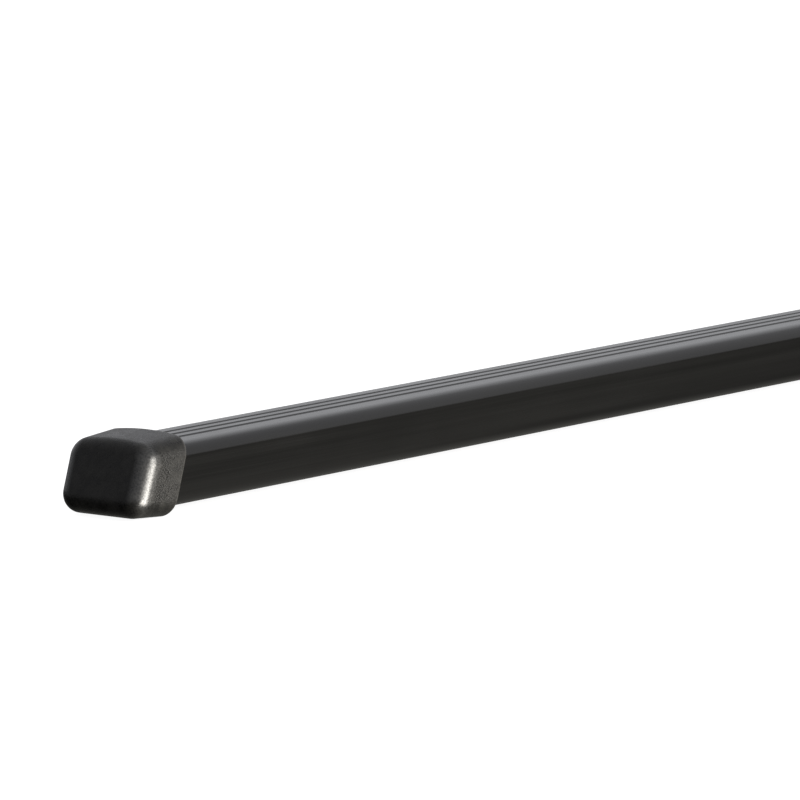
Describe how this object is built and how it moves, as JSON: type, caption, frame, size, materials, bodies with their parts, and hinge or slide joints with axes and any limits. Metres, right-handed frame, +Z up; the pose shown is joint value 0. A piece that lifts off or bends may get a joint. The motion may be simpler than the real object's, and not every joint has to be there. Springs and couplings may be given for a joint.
{
  "type": "load bar",
  "caption": "Rectangular load bar: steel tube in a ribbed plastic cover, with a raked, rounded cap pushed over each end.",
  "frame": {"origin": "midway along the bar and across it, level with the lowest edge of the two end caps", "axes": "+X along the bar, +Y across it, +Z up out of the ribbed face"},
  "size_m": [1.5198, 0.0386, 0.0286],
  "materials": {
    "tube_steel": "galvanised, dull",
    "cover_plastic": "extruded, semi-gloss black",
    "cap_plastic": "moulded, fine-grained black"
  },
  "bodies": {
    "bar": {"steel_tube": "tube_steel", "cover": "cover_plastic"},
    "cap_left": {"end_cap_left": "cap_plastic"},
    "cap_right": {"end_cap_right": "cap_plastic"}
  },
  "joints": [
    {"name": "cap_left_pull", "type": "slide", "parent": "bar", "child": "cap_left", "axis": [-1, 0, 0], "range_m": [0, 0.045]},
    {"name": "cap_right_pull", "type": "slide", "parent": "bar", "child": "cap_right", "axis": [1, 0, 0], "range_m": [0, 0.045]}
  ]
}
